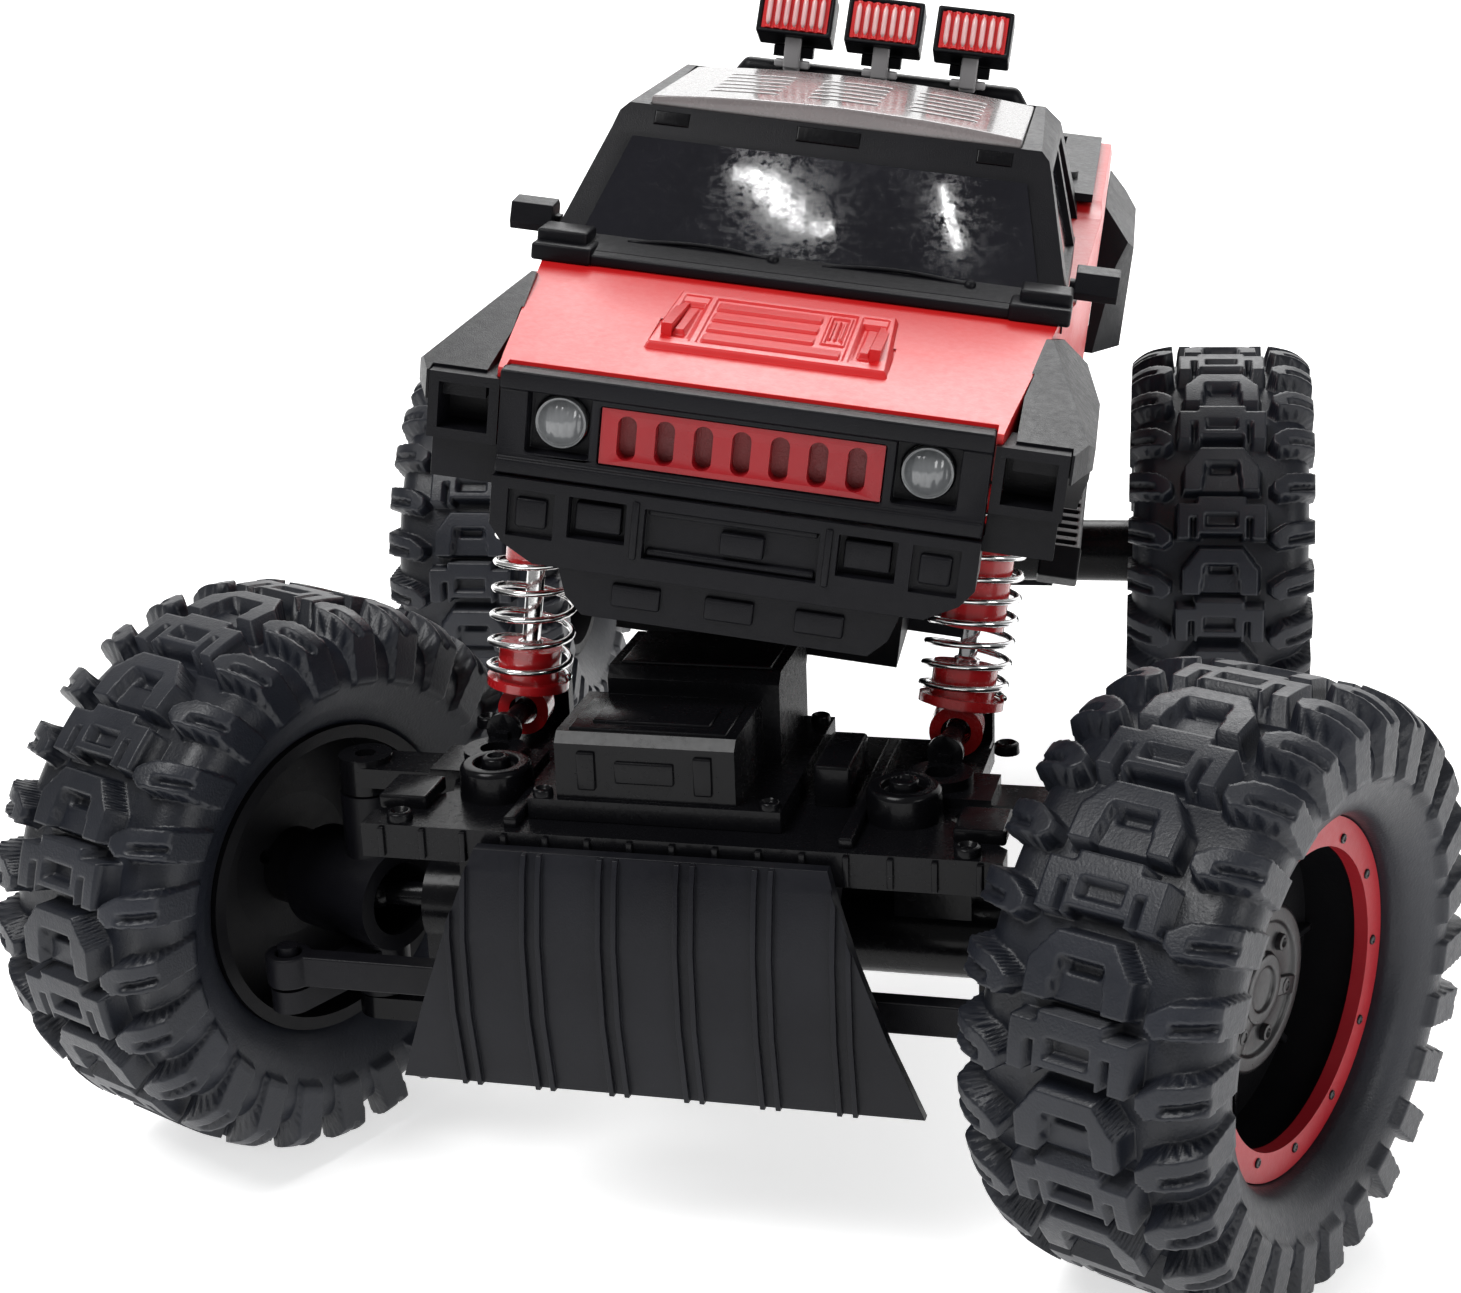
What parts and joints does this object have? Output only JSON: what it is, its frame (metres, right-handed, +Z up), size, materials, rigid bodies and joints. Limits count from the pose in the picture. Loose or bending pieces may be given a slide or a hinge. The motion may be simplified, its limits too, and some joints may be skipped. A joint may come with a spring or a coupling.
{
  "type": "remote control car",
  "caption": "Remote control rock crawler with a red pickup body, lugged tyres, steered front wheels, coil-over shocks and two axles that rock under the chassis.",
  "frame": {"origin": "on the ground under the middle of the outline", "axes": "+Z up, the front of the car faces -Y, +X is the left side of the car"},
  "size_m": [0.2145, 0.2886, 0.1658],
  "materials": {
    "red_satin": "satin red lacquer on moulded plastic",
    "black_matte": "fine-grained matte black moulding",
    "black_gloss": "glossy black moulding",
    "roof_grey": "dark grey glossy moulding",
    "tinted_window": "dark tinted glossy plastic",
    "red_lens": "red ribbed lens",
    "clear_lens": "clear ribbed lens",
    "tyre_rubber": "blue-black tyre rubber",
    "rim_black": "glossy black wheel",
    "ring_red": "satin red ring",
    "shock_red": "glossy red moulding",
    "spring_steel": "bright plated wire",
    "steel": "plain steel",
    "skid_charcoal": "charcoal grained moulding",
    "board_green": "green solder mask",
    "cell_wrap": "green shrink wrap"
  },
  "bodies": {
    "chassis": {"body_shell": "red_satin", "cab_frame": "black_matte", "roof_panel": "roof_grey", "windscreen": "tinted_window", "side_windows": "tinted_window", "fender_flares": "black_matte", "grille_frame": "black_matte", "grille_insert": "red_satin", "headlights": "clear_lens", "front_bumper": "black_matte", "rear_bumper": "black_matte", "mirrors": "black_matte", "roof_bar": "black_matte", "lamp_housings": "black_matte", "lamp_lenses": "red_lens", "tail_lights": "red_lens", "chassis_tray": "black_matte", "battery_cover": "black_matte", "battery_pack": "cell_wrap", "circuit_board": "board_green", "side_steps": "black_matte"},
    "front_axle": {"front_axle_case": "black_gloss", "front_motor_box": "black_gloss", "front_skid_plate": "skid_charcoal", "front_motor": "steel"},
    "rear_axle": {"rear_axle_case": "black_gloss", "rear_skid_plate": "skid_charcoal", "rear_motor": "steel"},
    "knuckle_left": {"knuckle_left": "black_matte"},
    "knuckle_right": {"knuckle_right": "black_matte"},
    "tie_rod": {"tie_rod": "black_matte"},
    "front_shaft": {"front_axle_shaft": "steel"},
    "front_pinion_shaft": {"front_pinion": "steel"},
    "rear_pinion_shaft": {"rear_pinion": "steel"},
    "rear_wheels": {"rear_axle_shaft": "steel", "tyre_rear_left": "tyre_rubber", "rim_rear_left": "rim_black", "bead_ring_rear_left": "ring_red", "tyre_rear_right": "tyre_rubber", "rim_rear_right": "rim_black", "bead_ring_rear_right": "ring_red"},
    "power_switch": {"power_switch": "black_matte"},
    "wheel_front_left": {"tyre_front_left": "tyre_rubber", "rim_front_left": "rim_black", "bead_ring_front_left": "ring_red"},
    "wheel_front_right": {"tyre_front_right": "tyre_rubber", "rim_front_right": "rim_black", "bead_ring_front_right": "ring_red"},
    "shock_body_front_left": {"shock_body_front_left": "shock_red", "shock_spring_front_left": "spring_steel"},
    "shock_piston_front_left": {"shock_piston_front_left": "shock_red"},
    "shock_body_front_right": {"shock_body_front_right": "shock_red", "shock_spring_front_right": "spring_steel"},
    "shock_piston_front_right": {"shock_piston_front_right": "shock_red"},
    "shock_body_rear_left": {"shock_body_rear_left": "shock_red", "shock_spring_rear_left": "spring_steel"},
    "shock_piston_rear_left": {"shock_piston_rear_left": "shock_red"},
    "shock_body_rear_right": {"shock_body_rear_right": "shock_red", "shock_spring_rear_right": "spring_steel"},
    "shock_piston_rear_right": {"shock_piston_rear_right": "shock_red"}
  },
  "joints": [
    {"name": "front_axle_roll", "type": "hinge", "parent": "chassis", "child": "front_axle", "pos_m": [0.00188, -0.0656, 0.07387], "axis": [0.0673, 0.866, 0.4955], "range_deg": [0, 17.82], "stiffness_Nm_per_rad": 0.03, "springref_deg": 8.91},
    {"name": "rear_axle_roll", "type": "hinge", "parent": "chassis", "child": "rear_axle", "pos_m": [0, 0.0764, 0.06], "axis": [0, 1, 0], "range_deg": [0, 15.46], "stiffness_Nm_per_rad": 0.03, "springref_deg": 7.73},
    {"name": "steer_left", "type": "hinge", "parent": "front_axle", "child": "knuckle_left", "pos_m": [0.05358, -0.09084, 0.04298], "axis": [0.0004, 0.0052, 1], "range_deg": [-2, 50.8]},
    {"name": "steer_right", "type": "hinge", "parent": "front_axle", "child": "knuckle_right", "pos_m": [-0.0531, -0.08256, 0.04298], "axis": [0.0004, 0.0052, 1], "range_deg": [-2, 50.8]},
    {"name": "tie_rod_pivot", "type": "hinge", "parent": "knuckle_left", "child": "tie_rod", "pos_m": [0.04466, -0.10705, 0.04307], "axis": [0.0004, 0.0052, 1], "range_deg": [-50.8, 2]},
    {"name": "wheel_front_left_spin", "type": "hinge", "parent": "knuckle_left", "child": "wheel_front_left", "pos_m": [0.07286, -0.10145, 0.04303], "axis": [0.876, -0.4824, 0.0022], "continuous": true},
    {"name": "wheel_front_right_spin", "type": "hinge", "parent": "knuckle_right", "child": "wheel_front_right", "pos_m": [-0.07237, -0.07194, 0.04294], "axis": [0.876, -0.4824, 0.0022], "continuous": true},
    {"name": "front_shaft_spin", "type": "hinge", "parent": "front_axle", "child": "front_shaft", "pos_m": [0.00024, -0.0867, 0.04298], "axis": [0.997, -0.0774, 0], "continuous": true},
    {"name": "front_pinion_spin", "type": "hinge", "parent": "front_axle", "child": "front_pinion_shaft", "pos_m": [0.00025, -0.08661, 0.05908], "axis": [0.997, -0.0774, 0], "continuous": true},
    {"name": "rear_wheels_spin", "type": "hinge", "parent": "rear_axle", "child": "rear_wheels", "pos_m": [0, 0.0994, 0.043], "axis": [1, 0, 0], "continuous": true},
    {"name": "rear_pinion_spin", "type": "hinge", "parent": "rear_axle", "child": "rear_pinion_shaft", "pos_m": [0, 0.0994, 0.0591], "axis": [1, 0, 0], "continuous": true},
    {"name": "shock_swing_front_left", "type": "hinge", "parent": "chassis", "child": "shock_body_front_left", "pos_m": [0.03956, -0.0656, 0.1061], "axis": [0, 1, 0], "range_deg": [0, 0.185]},
    {"name": "shock_travel_front_left", "type": "slide", "parent": "shock_body_front_left", "child": "shock_piston_front_left", "axis": [-0.1347, -0.2201, -0.9661], "range_m": [0, 0.00911], "deforming": ["shock_spring_front_left"]},
    {"name": "shock_swing_front_right", "type": "hinge", "parent": "chassis", "child": "shock_body_front_right", "pos_m": [-0.02584, -0.0656, 0.11497], "axis": [0, 1, 0], "range_deg": [0, 1.13]},
    {"name": "shock_travel_front_right", "type": "slide", "parent": "shock_body_front_right", "child": "shock_piston_front_right", "axis": [-0.1202, -0.0736, -0.99], "range_m": [-0.00889, 0], "deforming": ["shock_spring_front_right"]},
    {"name": "shock_swing_rear_left", "type": "hinge", "parent": "chassis", "child": "shock_body_rear_left", "pos_m": [0.03956, 0.0784, 0.1061], "axis": [0, 1, 0], "range_deg": [-3.81, 0]},
    {"name": "shock_travel_rear_left", "type": "slide", "parent": "shock_body_rear_left", "child": "shock_piston_rear_left", "axis": [-0.1702, 0.1557, -0.973], "range_m": [0, 0.0089], "deforming": ["shock_spring_rear_left"]},
    {"name": "shock_swing_rear_right", "type": "hinge", "parent": "chassis", "child": "shock_body_rear_right", "pos_m": [-0.02584, 0.0784, 0.11497], "axis": [0, 1, 0], "range_deg": [-2.75, 0]},
    {"name": "shock_travel_rear_right", "type": "slide", "parent": "shock_body_rear_right", "child": "shock_piston_rear_right", "axis": [-0.1513, 0.1268, -0.9803], "range_m": [-0.00904, 0], "deforming": ["shock_spring_rear_right"]},
    {"name": "power_switch_slide", "type": "slide", "parent": "chassis", "child": "power_switch", "axis": [0, 1, 0], "range_m": [0, 0.003]}
  ],
  "couplings": [
    {"joint": "steer_right", "follows": "steer_left", "ratio": 1},
    {"joint": "tie_rod_pivot", "follows": "steer_left", "ratio": -1},
    {"joint": "wheel_front_right_spin", "follows": "wheel_front_left_spin", "ratio": 1},
    {"joint": "front_shaft_spin", "follows": "wheel_front_left_spin", "ratio": 1},
    {"joint": "front_pinion_spin", "follows": "wheel_front_left_spin", "ratio": -2.2857},
    {"joint": "rear_pinion_spin", "follows": "rear_wheels_spin", "ratio": -2.2857},
    {"joint": "shock_swing_front_left", "follows": "front_axle_roll", "ratio": 0.00759},
    {"joint": "shock_travel_front_left", "follows": "front_axle_roll", "m_per_rad": 0.029248},
    {"joint": "shock_swing_front_right", "follows": "front_axle_roll", "ratio": 0.06044},
    {"joint": "shock_travel_front_right", "follows": "front_axle_roll", "m_per_rad": -0.028521},
    {"joint": "shock_swing_rear_left", "follows": "rear_axle_roll", "ratio": -0.24331},
    {"joint": "shock_travel_rear_left", "follows": "rear_axle_roll", "m_per_rad": 0.032912},
    {"joint": "shock_swing_rear_right", "follows": "rear_axle_roll", "ratio": -0.17451},
    {"joint": "shock_travel_rear_right", "follows": "rear_axle_roll", "m_per_rad": -0.033443}
  ]
}
